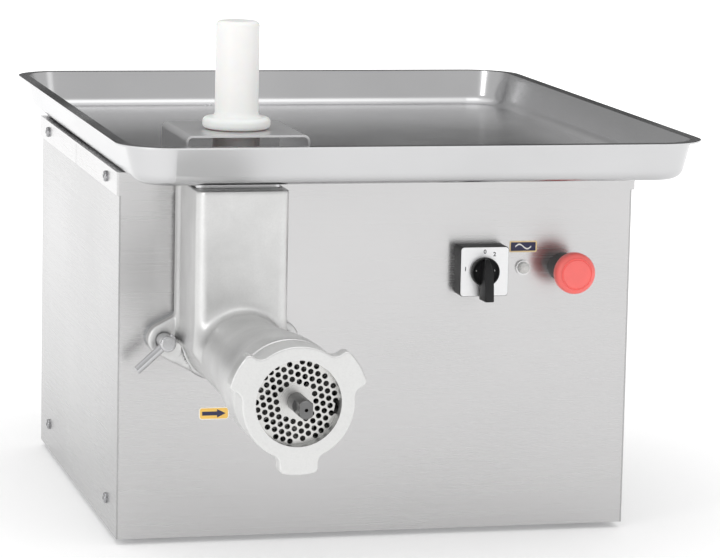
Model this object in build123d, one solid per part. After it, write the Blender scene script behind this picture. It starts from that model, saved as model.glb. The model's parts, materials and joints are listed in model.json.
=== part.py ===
from build123d import *
import math
import os

# Electric meat grinder with a size 22 head. Millimetres, +Z up.
# Origin: on the standing surface, under the middle of the cabinet. The grinding head points along -Y.

# ---- cabinet ----
CAB_W = 505.0          # outer width over the side panels
CAB_D = 480.0          # outer depth over the front and rear panels
CAB_H = 353.0          # panel bottom to the top of the cover
FOOT_H = 6.0           # rubber feet below the panels
FOOT_R = 15.0
FOOT_INSET = 45.0
SHEET = 1.5            # stainless sheet of the panels and cover
BASE_SHEET = 2.0
BASE_RIM = 40.0        # height of the base tray's upturned rim
RETURN = 20.0          # bent edges of the front and rear panels
SKIRT_H = 22.0         # skirt of the cover
SKIRT_OUT = 2.6        # skirt's outer face proud of the panels
SEAM = 0.8             # butt seam in the middle of the skirt's sides
SCREW_IN = 58.0        # panel screws from the front and rear faces
SCREW_UP = 28.0        # lower panel screws above the panel bottom
SCREW_R = 2.5
SCREW_HEAD_R = 5.3
SCREW_HEAD_H = 3.0
SCREW_HOLE_GAP = 0.15
VENT_COUNT = 9
VENT_W = 130.0
VENT_H = 5.0
VENT_PITCH = 14.0

# ---- grinding head ----
AXIS_X = -155.0        # barrel axis
AXIS_Z = 202.0
HEAD_REACH = 346.0     # cabinet front to the ring nut's face
FLANGE_GAP = 8.0       # thickness of the hub flange in front of the panel
FLANGE_T = 14.0        # head's eared flange
EAR_X = 57.5           # clamp screws from the barrel axis, level with it
EAR_R = 15.0
FLANGE_R = 42.0
BARREL_R_BACK = 38.5
BARREL_R_WAIST = 39.8
BARREL_R_FRONT = 49.7
FLARE_BACK = 200.0     # trumpet flare of the barrel, measured behind the ring nut's face
FLARE_FRONT = 55.0
BORE_R = 32.5          # auger's bore
CHAMBER_R = 38.0       # wider chamber for the knife
CHAMBER_L = 14.0       # behind the plate
NOSE_R = 44.8          # threaded nose for the ring nut
NOSE_L = 24.0
PLATE_R = 41.0         # size 22 plate, 82 mm
PLATE_T = 10.0
PLATE_GAP = 0.3
PLATE_PROUD = 3.0      # plate face ahead of the barrel's end
LIP_T = 11.0           # ring nut's lip ahead of the plate
LIP_R = 37.8
RING_R = 49.7
RING_L = 34.0
LOBE_R = 62.5
LOBE_HALF = 17.0
LOBE_DEG = 31.0        # first lobe from the horizontal
RING_GAP = 0.3
KNIFE_T = 9.0
KNIFE_SQUARE = 15.0    # auger's drive square
HOLE_R = 2.45          # mincing holes
HOLE_PITCH = 6.6
HOLES_FROM = 16.0      # field of holes, from and to this far from the axis
HOLES_TO = 35.2
HOLES_DEG = -19.0      # rows of holes from the horizontal
NECK_W = 87.0
NECK_FRONT = 108.0     # neck's front face from the cabinet front
NECK_TOP_GAP = 5.5     # neck's mouth below the tray's floor
NECK_CORNER = 10.0
FEED_W = 63.0          # feed opening inside the neck
FEED_D = 64.0
FEED_BACK = 48.0       # middle of the feed opening from the cabinet front
PAD_OUT = 3.0          # wider rear part of the neck
PAD_D = 16.0
KEY_R = 2.5            # pin that stops the plate turning
KEY_DEEP = 5.0
KEY_DEG = -9.0         # pin's place, from the horizontal
KEY_SLOT_W = 12.0      # slot in the plate, across and inward
KEY_SLOT_D = 5.5
MOUTH_STEP = 10.0      # rebate in the neck's mouth for the tray's collar
COLLAR_STEP = 4.8      # rebate wider than the feed opening, front and back
MOUTH_WALL = 3.2
FIT = 0.5              # loose fit of the collar and pusher

# ---- auger ----
AUGER_GAP = 0.9
CORE_R = 17.0
FLIGHT_PITCH = 52.0
FLIGHT_DEG = 42.0      # angular width of the flight's root
STUD_R = 8.0           # front stud that carries the knife and plate
STUD_FLAT = 5.7        # half the distance across its flats
STUD_OUT = 29.0        # ahead of the ring nut's face
RUN = 0.05             # running clearance on a radius

# ---- feed tray, guard and pusher ----
TRAY_W = 562.0
TRAY_D = 713.0
TRAY_X = 10.0          # tray's middle, right of the cabinet's middle
TRAY_Y = -13.5
TRAY_H = 37.5
TRAY_T = 1.5
TRAY_RIM = 9.0
TRAY_FLARE = 9.0       # each wall leans out this much
TRAY_CORNER = 42.0
TRAY_FLOOR_R = 13.0
TRAY_REST = 0.3
COLLAR_L = 15.0
COLLAR_T = 1.5
GUARD_W = 116.0
GUARD_D = 122.0
GUARD_H = 45.0
GUARD_T = 2.0
GUARD_FOOT = 14.0
GUARD_SIDE = 5.0       # guard and pusher right of the barrel axis
GUARD_BACK = 11.0      # guard behind the middle of the feed opening
PUSHER_BACK = 6.0      # pusher behind the middle of the feed opening
RIVET_R = 2.4
HANDLE_R = 20.3
HANDLE_H = 90.0
DISC_R = 31.7
DISC_T = 11.0
STEM_R = 22.0
STEM_L = 118.0

# ---- clamp screws ----
CLAMP_R = 6.0
CLAMP_HEAD_R = 7.6
CLAMP_HEAD_L = 24.0
BAR_R = 4.0
BAR_L = 48.0
BAR_OUT = 38.5         # long end from the screw's axis
BAR_DEG = 222.0        # long end's direction on the left screw

# ---- controls ----
SWITCH_X = 99.5
CONTROL_Z = 262.0
SWITCH_A = 48.0
SWITCH_OUT = 21.0
SWITCH_FACE_T = 1.2
KNOB_R = 14.0
KNOB_T = 4.0
LEVER_W = 11.0
LEVER_H = 17.0
LEVER_UP = 14.0
LEVER_DOWN = 27.0
LAMP_X = 144.0
LAMP_R = 7.2
ESTOP_X = 184.0
ESTOP_R = 20.0
ESTOP_OUT = 50.0
COLLAR_R = 14.0
ESTOP_NECK = 26.0      # collar's length in front of the panel
ESTOP_TRAVEL = 5.0
LABEL_W = 27.5
LABEL_H = 11.0
LABEL_RISE = 20.5
STICKER_W = 29.0
STICKER_H = 12.0
STICKER_DROP = 76.0
TRIM_T = 0.4

# ---- drive ----
GEARBOX_D = 98.0
GEARBOX_WALL = 7.0
GEAR_W = 22.0
SHAFT_R = 20.0
OUT_TEETH, IDLER_PINION_TEETH, OUT_MODULE = 42, 18, 2.5
IDLER_TEETH, MOTOR_TEETH, IN_MODULE = 45, 15, 2.0
BACKLASH = 0.25
MOTOR_R = 74.0
MOTOR_L = 170.0
FIN_H = 8.0
SHIELD_T = 14.0
ROTOR_R = 45.0
ROTOR_SHAFT_R = 12.0
FAN_R = 60.0
FAN_T = 22.0
COWL_L = 48.0

# ---- values worked out from the sizes above ----
FRONT = -CAB_D / 2
REAR = CAB_D / 2
PANEL_Z0 = FOOT_H
TOP = FOOT_H + CAB_H
FLOOR_Z = TOP + TRAY_REST                      # underside of the tray's floor
RING_FACE = FRONT - HEAD_REACH
PLATE_FRONT = RING_FACE + LIP_T
PLATE_BACK = PLATE_FRONT + PLATE_T
BARREL_END = PLATE_FRONT + PLATE_PROUD
NOSE_BACK = BARREL_END + NOSE_L
KNIFE_BACK = PLATE_BACK + KNIFE_T
FLANGE_BACK = FRONT - FLANGE_GAP
FLANGE_FRONT = FLANGE_BACK - FLANGE_T
AUGER_BACK = FLANGE_BACK - 8.0
NECK_D = NECK_FRONT - FLANGE_GAP
NECK_Y = FRONT - NECK_FRONT + NECK_D / 2
NECK_TOP = FLOOR_Z - NECK_TOP_GAP
FEED_Y = FRONT - FEED_BACK
MOUTH_W = NECK_W - 2 * MOUTH_WALL
MOUTH_D = FEED_D + 2 * COLLAR_STEP
GUARD_TOP = FLOOR_Z + GUARD_H
GUARD_X = AXIS_X + GUARD_SIDE
GUARD_Y = FEED_Y + GUARD_BACK
PUSHER_Y = FEED_Y + PUSHER_BACK
GEAR_X1 = OUT_MODULE * (OUT_TEETH + IDLER_PINION_TEETH) / 2
GEAR_X2 = IN_MODULE * (IDLER_TEETH + MOTOR_TEETH) / 2
IDLER_X = AXIS_X + GEAR_X1
MOTOR_X = IDLER_X + GEAR_X2
BOX_FRONT = FRONT + SHEET
BOX_BACK = BOX_FRONT + GEARBOX_D
COVER_BACK = BOX_BACK + GEARBOX_WALL
MOTOR_FRONT = COVER_BACK + SHIELD_T
MOTOR_BACK = MOTOR_FRONT + MOTOR_L
FAN_FRONT = MOTOR_BACK + SHIELD_T + 6
OUT_GEAR_Y = BOX_FRONT + 40
IN_GEAR_Y = OUT_GEAR_Y + GEAR_W + 4

SEAM_TURN = 37.0       # surface seams of round solids, turned clear of their neighbours
BARREL_SEAM = 97.0

parts = {}


# ---- shape helpers ----
def block(x0, x1, y0, y1, z0, z1):
    return Pos((x0 + x1) / 2, (y0 + y1) / 2, (z0 + z1) / 2) * Box(x1 - x0, y1 - y0, z1 - z0)


def rod_y(radius, y0, y1, x, z):
    """Cylinder along Y from y0 to y1, its surface seam turned away from the other pieces' edges."""
    return Pos(x, (y0 + y1) / 2, z) * Rot(90, 0, 0) * Rot(0, 0, SEAM_TURN) * Cylinder(radius, abs(y1 - y0))


def cone_y(r0, r1, y0, y1, x, z):
    """Cone along Y with radius r0 at y0 and r1 at the lesser y1."""
    return Pos(x, (y0 + y1) / 2, z) * Rot(90, 0, 0) * Cone(r0, r1, abs(y1 - y0))


def ring_y(outer, inner, y0, y1, x, z):
    return rod_y(outer, y0, y1, x, z) - rod_y(inner, y0 - 1, y1 + 1, x, z)


def slab_y(sketch, y0, y1, x=0.0, z=0.0):
    """A sketch drawn in X and Z, seen from the front, made solid from y0 back to y1."""
    plane = Plane(origin=(x, y1, z), x_dir=(1, 0, 0), z_dir=(0, -1, 0))
    return extrude(plane * sketch, amount=y1 - y0)


def pillar(width, depth, corner, z0, z1, x=0.0, y=0.0):
    """Upright block with rounded corners."""
    return Pos(x, y, z0) * extrude(RectangleRounded(width, depth, corner), amount=z1 - z0)


def dome_screw(x, y, z, direction):
    """Button head screw whose head seat is at the given point; direction is outward."""
    plane = Plane(origin=(x, y, z), z_dir=direction)
    head = Cylinder(SCREW_HEAD_R, SCREW_HEAD_H, align=(Align.CENTER, Align.CENTER, Align.MIN))
    head = fillet(head.edges().group_by(Axis.Z)[-1], SCREW_HEAD_H * 0.75)
    socket = extrude(Pos(0, 0, SCREW_HEAD_H * 0.4) * RegularPolygon(SCREW_HEAD_R * 0.42, 6), amount=SCREW_HEAD_H)
    shank = Cylinder(SCREW_R, 12, align=(Align.CENTER, Align.CENTER, Align.MAX))
    return plane * (head + shank - socket)


def screw_places():
    """Outer points and directions of the panel screws, and the holes they need."""
    low, high = PANEL_Z0 + SCREW_UP, TOP - SKIRT_H / 2
    spots = []
    for side in (-1, 1):
        for y in (FRONT + SCREW_IN, REAR - SCREW_IN):
            spots.append((side * CAB_W / 2, y, low, (side, 0, 0)))
            spots.append((side * (CAB_W / 2 + SKIRT_OUT), y, high, (side, 0, 0)))
        spots.append((side * (CAB_W / 2 - SCREW_IN), REAR, low, (0, 1, 0)))
        spots.append((side * (CAB_W / 2 - SCREW_IN), REAR + SKIRT_OUT, high, (0, 1, 0)))
    return spots


def screw_holes():
    holes = []
    for x, y, z, direction in screw_places():
        drill = Cylinder(SCREW_R + SCREW_HOLE_GAP, 40)
        holes.append(Plane(origin=(x, y, z), z_dir=direction) * drill)
    return holes


HOLES = screw_holes()


def drilled(solid):
    for hole in HOLES:
        solid = solid - hole
    return solid


# ---- cabinet ----
def make_cabinet():
    inner_x = CAB_W / 2 - SHEET
    under_cover = TOP - SHEET
    base = block(-inner_x, inner_x, FRONT + SHEET, REAR - SHEET, PANEL_Z0, PANEL_Z0 + BASE_RIM)
    base -= block(-inner_x + BASE_SHEET, inner_x - BASE_SHEET, FRONT + SHEET + BASE_SHEET,
                  REAR - SHEET - BASE_SHEET, PANEL_Z0 + BASE_SHEET, TOP)
    parts["base_pan"] = drilled(base)

    for side, name in ((-1, "left_panel"), (1, "right_panel")):
        outer = side * CAB_W / 2
        inner = side * inner_x
        parts[name] = drilled(block(min(outer, inner), max(outer, inner), FRONT, REAR, PANEL_Z0, under_cover))

    gap = 0.05
    rim_top = PANEL_Z0 + BASE_RIM + 1
    sheet = block(-inner_x + gap, inner_x - gap, FRONT, FRONT + SHEET, PANEL_Z0, under_cover)
    for side in (-1, 1):
        edge = side * (inner_x - gap)
        fold = side * (inner_x - gap - SHEET)
        sheet += block(min(edge, fold), max(edge, fold), FRONT, FRONT + RETURN, rim_top, under_cover)
    sheet -= rod_y(SHAFT_R + 24, FRONT - 5, FRONT + 5, AXIS_X, AXIS_Z)
    sheet -= block(SWITCH_X - 20, SWITCH_X + 20, FRONT - 5, FRONT + 5, CONTROL_Z - 20, CONTROL_Z + 20)
    sheet -= rod_y(LAMP_R - 2, FRONT - 5, FRONT + 5, LAMP_X, CONTROL_Z)
    sheet -= rod_y(COLLAR_R - 3, FRONT - 5, FRONT + 5, ESTOP_X, CONTROL_Z)
    parts["front_panel"] = sheet

    sheet = block(-inner_x + gap, inner_x - gap, REAR - SHEET, REAR, PANEL_Z0, under_cover)
    for side in (-1, 1):
        edge = side * (inner_x - gap)
        fold = side * (inner_x - gap - SHEET)
        sheet += block(min(edge, fold), max(edge, fold), REAR - RETURN, REAR, rim_top, under_cover)
    for column in (-1, 1):
        for row in range(VENT_COUNT):
            z = AXIS_Z + (row - (VENT_COUNT - 1) / 2) * VENT_PITCH
            slot = SlotOverall(VENT_W, VENT_H)
            sheet -= slab_y(slot, REAR - 5, REAR + 5, column * (VENT_W / 2 + 20), z)
    sheet -= rod_y(GLAND_R, REAR - 5, REAR + 5, GLAND_X, GLAND_Z)
    parts["rear_panel"] = drilled(sheet)

    out_x, out_y = CAB_W / 2 + SKIRT_OUT, CAB_D / 2 + SKIRT_OUT
    cover = block(-out_x, out_x, -out_y, out_y, TOP - SKIRT_H, TOP)
    cover = fillet(cover.edges().filter_by(Axis.Z), 2.0)
    cover -= block(-out_x + SHEET, out_x - SHEET, -out_y + SHEET, out_y - SHEET, TOP - SKIRT_H - 1, TOP - SHEET)
    for side in (-1, 1):
        cut = side * out_x
        cover -= block(cut - 2.0, cut + 2.0, -SEAM / 2, SEAM / 2, TOP - SKIRT_H - 1, TOP - SHEET - 0.5)
    parts["top_cover"] = drilled(cover)

    parts["panel_screws"] = Compound([dome_screw(*spot) for spot in screw_places()])
    foot = Cone(FOOT_R - 2, FOOT_R, FOOT_H, align=(Align.CENTER, Align.CENTER, Align.MIN))
    feet = [foot]                              # middle foot under the motor, then the four at the corners
    for sx in (-1, 1):
        for sy in (-1, 1):
            feet.append(Pos(sx * (CAB_W / 2 - FOOT_INSET), sy * (CAB_D / 2 - FOOT_INSET), 0) * foot)
    parts["rubber_feet"] = Compound(feet)


# ---- cable gland ----
GLAND_X, GLAND_Z = 190.0, 60.0
GLAND_R = 8.0
GLAND_BORE_R = 4.5
GLAND_OUT = 20.0


def make_gland():
    body = rod_y(GLAND_R - 0.1, REAR - 14, REAR, GLAND_X, GLAND_Z)
    body += slab_y(RegularPolygon(12, 6), REAR, REAR + 6, GLAND_X, GLAND_Z)
    nut = Pos(GLAND_X, REAR + 6, GLAND_Z) * Rot(-90, 0, 0) * Cone(
        11, 8, GLAND_OUT - 6, align=(Align.CENTER, Align.CENTER, Align.MIN))
    body += nut
    parts["cable_gland"] = body - rod_y(GLAND_BORE_R, REAR - 20, REAR + GLAND_OUT + 1, GLAND_X, GLAND_Z)
    lock = slab_y(RegularPolygon(13, 6), REAR - SHEET - 5, REAR - SHEET, GLAND_X, GLAND_Z)
    parts["gland_locknut"] = lock - rod_y(GLAND_R, REAR - 20, REAR, GLAND_X, GLAND_Z)


# ---- gears ----
def gear_sketch(teeth, module, phase):
    """Involute spur gear outline, one tooth centred at the angle phase in degrees."""
    pitch_r = module * teeth / 2
    base_r = pitch_r * math.cos(math.radians(20))
    tip_r = pitch_r + 0.85 * module
    root_r = pitch_r - 1.2 * module
    inv20 = math.tan(math.radians(20)) - math.radians(20)
    half = math.pi / (2 * teeth) - BACKLASH / (4 * pitch_r) + inv20
    start_r = max(base_r, root_r)
    flank = []
    for step in range(6):
        r = start_r + (tip_r - start_r) * step / 5
        pressure = math.acos(min(1.0, base_r / r))
        flank.append((r, half - (math.tan(pressure) - pressure)))
    points = []
    for tooth in range(teeth):
        centre = math.radians(phase) + 2 * math.pi * tooth / teeth
        side = [(root_r, flank[0][1])] + flank if root_r < start_r - 0.05 else flank
        for r, a in side:
            points.append((r * math.cos(centre - a), r * math.sin(centre - a)))
        for r, a in reversed(side):
            points.append((r * math.cos(centre + a), r * math.sin(centre + a)))
    return make_face(Polyline(*points, close=True))


def gear(teeth, module, phase, y0, y1, x):
    return slab_y(gear_sketch(teeth, module, phase), y0, y1, x, AXIS_Z)


# ---- gearbox ----
def gearbox_outline(grow):
    """Tapering outline around the output and motor axes, in X and Z about the output axis."""
    big = OUT_MODULE * OUT_TEETH / 2 + 8 + grow
    small = IN_MODULE * MOTOR_TEETH / 2 + 26 + grow
    mid = IN_MODULE * IDLER_TEETH / 2 + 8 + grow
    shape = Circle(big) + Pos(GEAR_X1, 0) * Circle(mid) + Pos(GEAR_X1 + GEAR_X2, 0) * Circle(small)
    shape += Pos((GEAR_X1 + GEAR_X2) / 2, 0) * Rectangle(GEAR_X1 + GEAR_X2, 2 * small)
    return shape


def make_gearbox():
    outer = gearbox_outline(GEARBOX_WALL)
    housing = slab_y(outer, BOX_FRONT, BOX_BACK, AXIS_X, AXIS_Z)
    housing -= slab_y(gearbox_outline(0), BOX_FRONT + GEARBOX_WALL, BOX_BACK + 1, AXIS_X, AXIS_Z)
    boss_r = SHAFT_R + 15
    hub_back = BOX_FRONT + GEARBOX_WALL
    housing += rod_y(boss_r + 8, BOX_FRONT, BOX_FRONT + 26, AXIS_X, AXIS_Z)
    housing -= rod_y(boss_r, BOX_FRONT - 1, BOX_FRONT + 27, AXIS_X, AXIS_Z)
    housing += ring_y(22, 14, hub_back, hub_back + 10, IDLER_X, AXIS_Z)
    parts["gearbox_housing"] = housing

    cover = slab_y(outer, BOX_BACK, COVER_BACK, AXIS_X, AXIS_Z)
    cover += rod_y(34, BOX_BACK - 12, BOX_BACK, AXIS_X, AXIS_Z)
    cover += ring_y(22, 14, BOX_BACK - 10, BOX_BACK, IDLER_X, AXIS_Z)
    cover -= rod_y(26, BOX_BACK - 13, BOX_BACK + 3, AXIS_X, AXIS_Z)
    cover -= rod_y(22, BOX_BACK - 1, COVER_BACK + 1, MOTOR_X, AXIS_Z)
    parts["gearbox_cover"] = cover

    # output shaft: bearings front and rear, gear keyed in the middle, socket for the auger in front
    shaft = rod_y(SHAFT_R, FLANGE_BACK + 2, BOX_BACK - 12, AXIS_X, AXIS_Z)
    shaft += rod_y(15, BOX_BACK - 12, BOX_BACK + 2, AXIS_X, AXIS_Z)
    shaft -= slab_y(Rectangle(24.6, 24.6), FLANGE_BACK, FLANGE_BACK + 36, AXIS_X, AXIS_Z)
    parts["output_shaft"] = shaft
    wheel = gear(OUT_TEETH, OUT_MODULE, 180.0 / OUT_TEETH, OUT_GEAR_Y, OUT_GEAR_Y + GEAR_W, AXIS_X)
    for hole in PolarLocations(34, 6):
        wheel -= slab_y(hole * Circle(7), OUT_GEAR_Y - 1, OUT_GEAR_Y + GEAR_W + 1, AXIS_X, AXIS_Z)
    parts["output_gear"] = wheel - rod_y(SHAFT_R, OUT_GEAR_Y - 1, OUT_GEAR_Y + GEAR_W + 1, AXIS_X, AXIS_Z)
    front_bearing = ring_y(boss_r, SHAFT_R + RUN, BOX_FRONT + 10, BOX_FRONT + 26, AXIS_X, AXIS_Z)
    rear_bearing = ring_y(26, 15 + RUN, BOX_BACK - 11, BOX_BACK + 2, AXIS_X, AXIS_Z)
    parts["shaft_seal"] = ring_y(boss_r, SHAFT_R + RUN, BOX_FRONT, BOX_FRONT + 9, AXIS_X, AXIS_Z)

    # intermediate shaft: large gear driven by the motor, small gear on the output gear
    idler_front, idler_back = hub_back + 0.5, BOX_BACK - 0.5
    parts["intermediate_shaft"] = rod_y(10, idler_front, idler_back, IDLER_X, AXIS_Z)
    small = gear(IDLER_PINION_TEETH, OUT_MODULE, 180.0, OUT_GEAR_Y - 1, OUT_GEAR_Y + GEAR_W + 1, IDLER_X)
    parts["intermediate_pinion"] = small - rod_y(10, OUT_GEAR_Y - 2, OUT_GEAR_Y + GEAR_W + 2, IDLER_X, AXIS_Z)
    large = gear(IDLER_TEETH, IN_MODULE, 0.0, IN_GEAR_Y, IN_GEAR_Y + GEAR_W - 6, IDLER_X)
    parts["intermediate_gear"] = large - rod_y(10, IN_GEAR_Y - 1, IN_GEAR_Y + GEAR_W, IDLER_X, AXIS_Z)
    parts["gearbox_bearings"] = Compound([
        front_bearing, rear_bearing,
        ring_y(14, 10 + RUN, hub_back + 1, hub_back + 10, IDLER_X, AXIS_Z),
        ring_y(14, 10 + RUN, BOX_BACK - 10, BOX_BACK - 1, IDLER_X, AXIS_Z)])


# ---- motor ----
def make_motor():
    shell = ring_y(MOTOR_R, MOTOR_R - 8, MOTOR_FRONT, MOTOR_BACK, MOTOR_X, AXIS_Z)
    for index in range(28):
        fin = Pos(MOTOR_R + FIN_H / 2 - 0.5, 0) * Rectangle(FIN_H + 1, 2.5)
        turned = Rot(0, 0, index * 360 / 28) * fin
        shell += slab_y(turned, MOTOR_FRONT, MOTOR_BACK, MOTOR_X, AXIS_Z)
    parts["motor_housing"] = shell
    stack_front, stack_back = MOTOR_FRONT + 35, MOTOR_BACK - 35
    parts["motor_stator"] = ring_y(MOTOR_R - 8, ROTOR_R + 0.5, stack_front, stack_back, MOTOR_X, AXIS_Z)
    rotor = rod_y(ROTOR_R, stack_front, stack_back, MOTOR_X, AXIS_Z)
    rotor += rod_y(ROTOR_SHAFT_R, IN_GEAR_Y - 1, FAN_FRONT + FAN_T, MOTOR_X, AXIS_Z)
    pinion_y1 = IN_GEAR_Y + GEAR_W - 5
    rotor -= rod_y(ROTOR_SHAFT_R + 1, IN_GEAR_Y - 2, pinion_y1, MOTOR_X, AXIS_Z)
    rotor += rod_y(7, IN_GEAR_Y - 1, pinion_y1 + 1, MOTOR_X, AXIS_Z)
    parts["motor_rotor"] = rotor
    pinion = gear(MOTOR_TEETH, IN_MODULE, 180.0 + 180.0 / MOTOR_TEETH, IN_GEAR_Y - 1, pinion_y1, MOTOR_X)
    parts["motor_pinion"] = pinion - rod_y(7, IN_GEAR_Y - 2, pinion_y1 + 1, MOTOR_X, AXIS_Z)
    front = rod_y(MOTOR_R + FIN_H, COVER_BACK, MOTOR_FRONT, MOTOR_X, AXIS_Z)
    parts["motor_front_shield"] = front - rod_y(20, COVER_BACK - 1, MOTOR_FRONT + 1, MOTOR_X, AXIS_Z)
    rear_y = MOTOR_BACK + SHIELD_T
    rear = rod_y(MOTOR_R + 2, MOTOR_BACK, rear_y, MOTOR_X, AXIS_Z)
    parts["motor_rear_shield"] = rear - rod_y(20, MOTOR_BACK - 1, rear_y + 1, MOTOR_X, AXIS_Z)
    parts["motor_bearings"] = Compound([
        ring_y(20, ROTOR_SHAFT_R + RUN, COVER_BACK + 2, MOTOR_FRONT, MOTOR_X, AXIS_Z),
        ring_y(20, ROTOR_SHAFT_R + RUN, MOTOR_BACK, rear_y, MOTOR_X, AXIS_Z)])
    fan = rod_y(20, FAN_FRONT, FAN_FRONT + FAN_T, MOTOR_X, AXIS_Z)
    fan += rod_y(FAN_R, FAN_FRONT, FAN_FRONT + 3, MOTOR_X, AXIS_Z)
    for index in range(9):
        blade = Pos((FAN_R + 18) / 2, 0) * Rectangle(FAN_R - 18, 3)
        fan += slab_y(Rot(0, 0, index * 40) * blade, FAN_FRONT, FAN_FRONT + FAN_T, MOTOR_X, AXIS_Z)
    parts["motor_fan"] = fan - rod_y(ROTOR_SHAFT_R, FAN_FRONT - 1, FAN_FRONT + FAN_T + 1, MOTOR_X, AXIS_Z)
    cowl_back = MOTOR_BACK + 2 + COWL_L
    cowl = rod_y(MOTOR_R + 5, MOTOR_BACK + 2, cowl_back, MOTOR_X, AXIS_Z)
    cowl -= rod_y(MOTOR_R + 2, MOTOR_BACK + 1, cowl_back - 2, MOTOR_X, AXIS_Z)
    for count, reach in ((8, 26), (14, 46)):
        for hole in PolarLocations(reach, count):
            cowl -= slab_y(hole * Circle(6), cowl_back - 3, cowl_back + 1, MOTOR_X, AXIS_Z)
    parts["fan_cowl"] = cowl

    # cradle that carries the motor on the base pan
    bottom = PANEL_Z0 + BASE_SHEET
    saddle_w = MOTOR_R * 1.5
    saddle = block(MOTOR_X - saddle_w / 2, MOTOR_X + saddle_w / 2, MOTOR_FRONT + 20, MOTOR_BACK - 20,
                   bottom, AXIS_Z - MOTOR_R * 0.55)
    saddle -= rod_y(MOTOR_R + FIN_H + 0.3, MOTOR_FRONT, MOTOR_BACK, MOTOR_X, AXIS_Z)
    inside = saddle_w / 2 - 6
    saddle -= block(MOTOR_X - inside, MOTOR_X + inside, MOTOR_FRONT, MOTOR_BACK, bottom + 6,
                    AXIS_Z - MOTOR_R - FIN_H - 8)
    parts["motor_cradle"] = saddle
    lid_z = AXIS_Z + MOTOR_R + FIN_H
    terminal = block(MOTOR_X - 35, MOTOR_X + 35, MOTOR_FRONT + 40, MOTOR_FRONT + 130, lid_z, lid_z + 34)
    parts["terminal_box"] = fillet(terminal.edges().filter_by(Axis.Z), 6)


# ---- electrical box inside the cabinet ----
def make_electrics():
    bottom = PANEL_Z0 + BASE_SHEET
    rail_x, rail_y = 175.0, 60.0
    rail = block(rail_x - 17.5, rail_x + 17.5, rail_y - 80, rail_y + 80, bottom, bottom + 1.5)
    parts["din_rail"] = rail + block(rail_x - 13, rail_x + 13, rail_y - 80, rail_y + 80, bottom, bottom + 7.5)
    top = bottom + 7.5
    body = block(rail_x - 38, rail_x + 38, rail_y - 60, rail_y - 10, top, top + 80)
    body = fillet(body.edges().filter_by(Axis.Z), 3)
    parts["contactor"] = body


# ---- hub flange and grinding head ----
def eared_outline(radius, ear_r):
    """Round flange with an ear at each side, level with the barrel axis."""
    shape = Circle(radius)
    lean = math.acos((radius - ear_r) / EAR_X)
    for side in (-1, 1):
        corners = []
        for sign in (1, -1):
            x, z = side * math.cos(lean), sign * math.sin(lean)
            corners.append((radius * x, radius * z))
            corners.append((side * EAR_X + ear_r * x, ear_r * z))
        web = make_face(Polyline(corners[0], corners[1], corners[3], corners[2], close=True))
        shape += Pos(side * EAR_X, 0) * Circle(ear_r) + web
    return shape


def ear_centre(side):
    return AXIS_X + side * EAR_X, AXIS_Z


def make_hub():
    hub = slab_y(eared_outline(FLANGE_R - 0.6, EAR_R - 0.6), FLANGE_BACK, FRONT, AXIS_X, AXIS_Z)
    hub += rod_y(SHAFT_R + 23.5, FRONT, BOX_FRONT, AXIS_X, AXIS_Z)
    hub -= rod_y(SHAFT_R + 2, FLANGE_BACK - 1, BOX_FRONT + 1, AXIS_X, AXIS_Z)
    for side in (-1, 1):
        x, z = ear_centre(side)
        hub -= rod_y(CLAMP_R + RUN, FLANGE_BACK - 1, FRONT - 1, x, z)
    parts["hub_flange"] = hub


def barrel_radius(y):
    """Outside of the barrel: a slight taper, then a trumpet flare to the ring nut."""
    behind = y - RING_FACE
    if behind > FLARE_BACK:
        share = (behind - FLARE_BACK) / (FLANGE_FRONT - RING_FACE - FLARE_BACK)
        return BARREL_R_WAIST + (BARREL_R_BACK - BARREL_R_WAIST) * share
    share = min(1, (FLARE_BACK - behind) / (FLARE_BACK - FLARE_FRONT))
    return BARREL_R_WAIST + (BARREL_R_FRONT - BARREL_R_WAIST) * share * share * (3 - 2 * share)


def barrel_solid():
    """Outer solid of the barrel, turned about its axis from a taper, a spline flare and a straight collar."""
    flare_back, flare_front = RING_FACE + FLARE_BACK, RING_FACE + FLARE_FRONT
    back = FLANGE_FRONT + 4
    steps = 6
    bend = []
    for index in range(steps + 1):
        y = flare_back + (flare_front - flare_back) * index / steps
        bend.append((barrel_radius(y), y))
    flare = Spline(*bend, tangents=[(0, -1), (0, -1)])
    rear = Polyline((0, back), (BARREL_R_BACK, back), (BARREL_R_WAIST, flare_back))
    collar = Polyline((BARREL_R_FRONT, flare_front), (BARREL_R_FRONT, NOSE_BACK), (0, NOSE_BACK), (0, back))
    turned = revolve(make_face([rear, flare, collar]), axis=Axis.Y)
    return Pos(AXIS_X, 0, AXIS_Z) * Rot(0, BARREL_SEAM, 0) * turned


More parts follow.
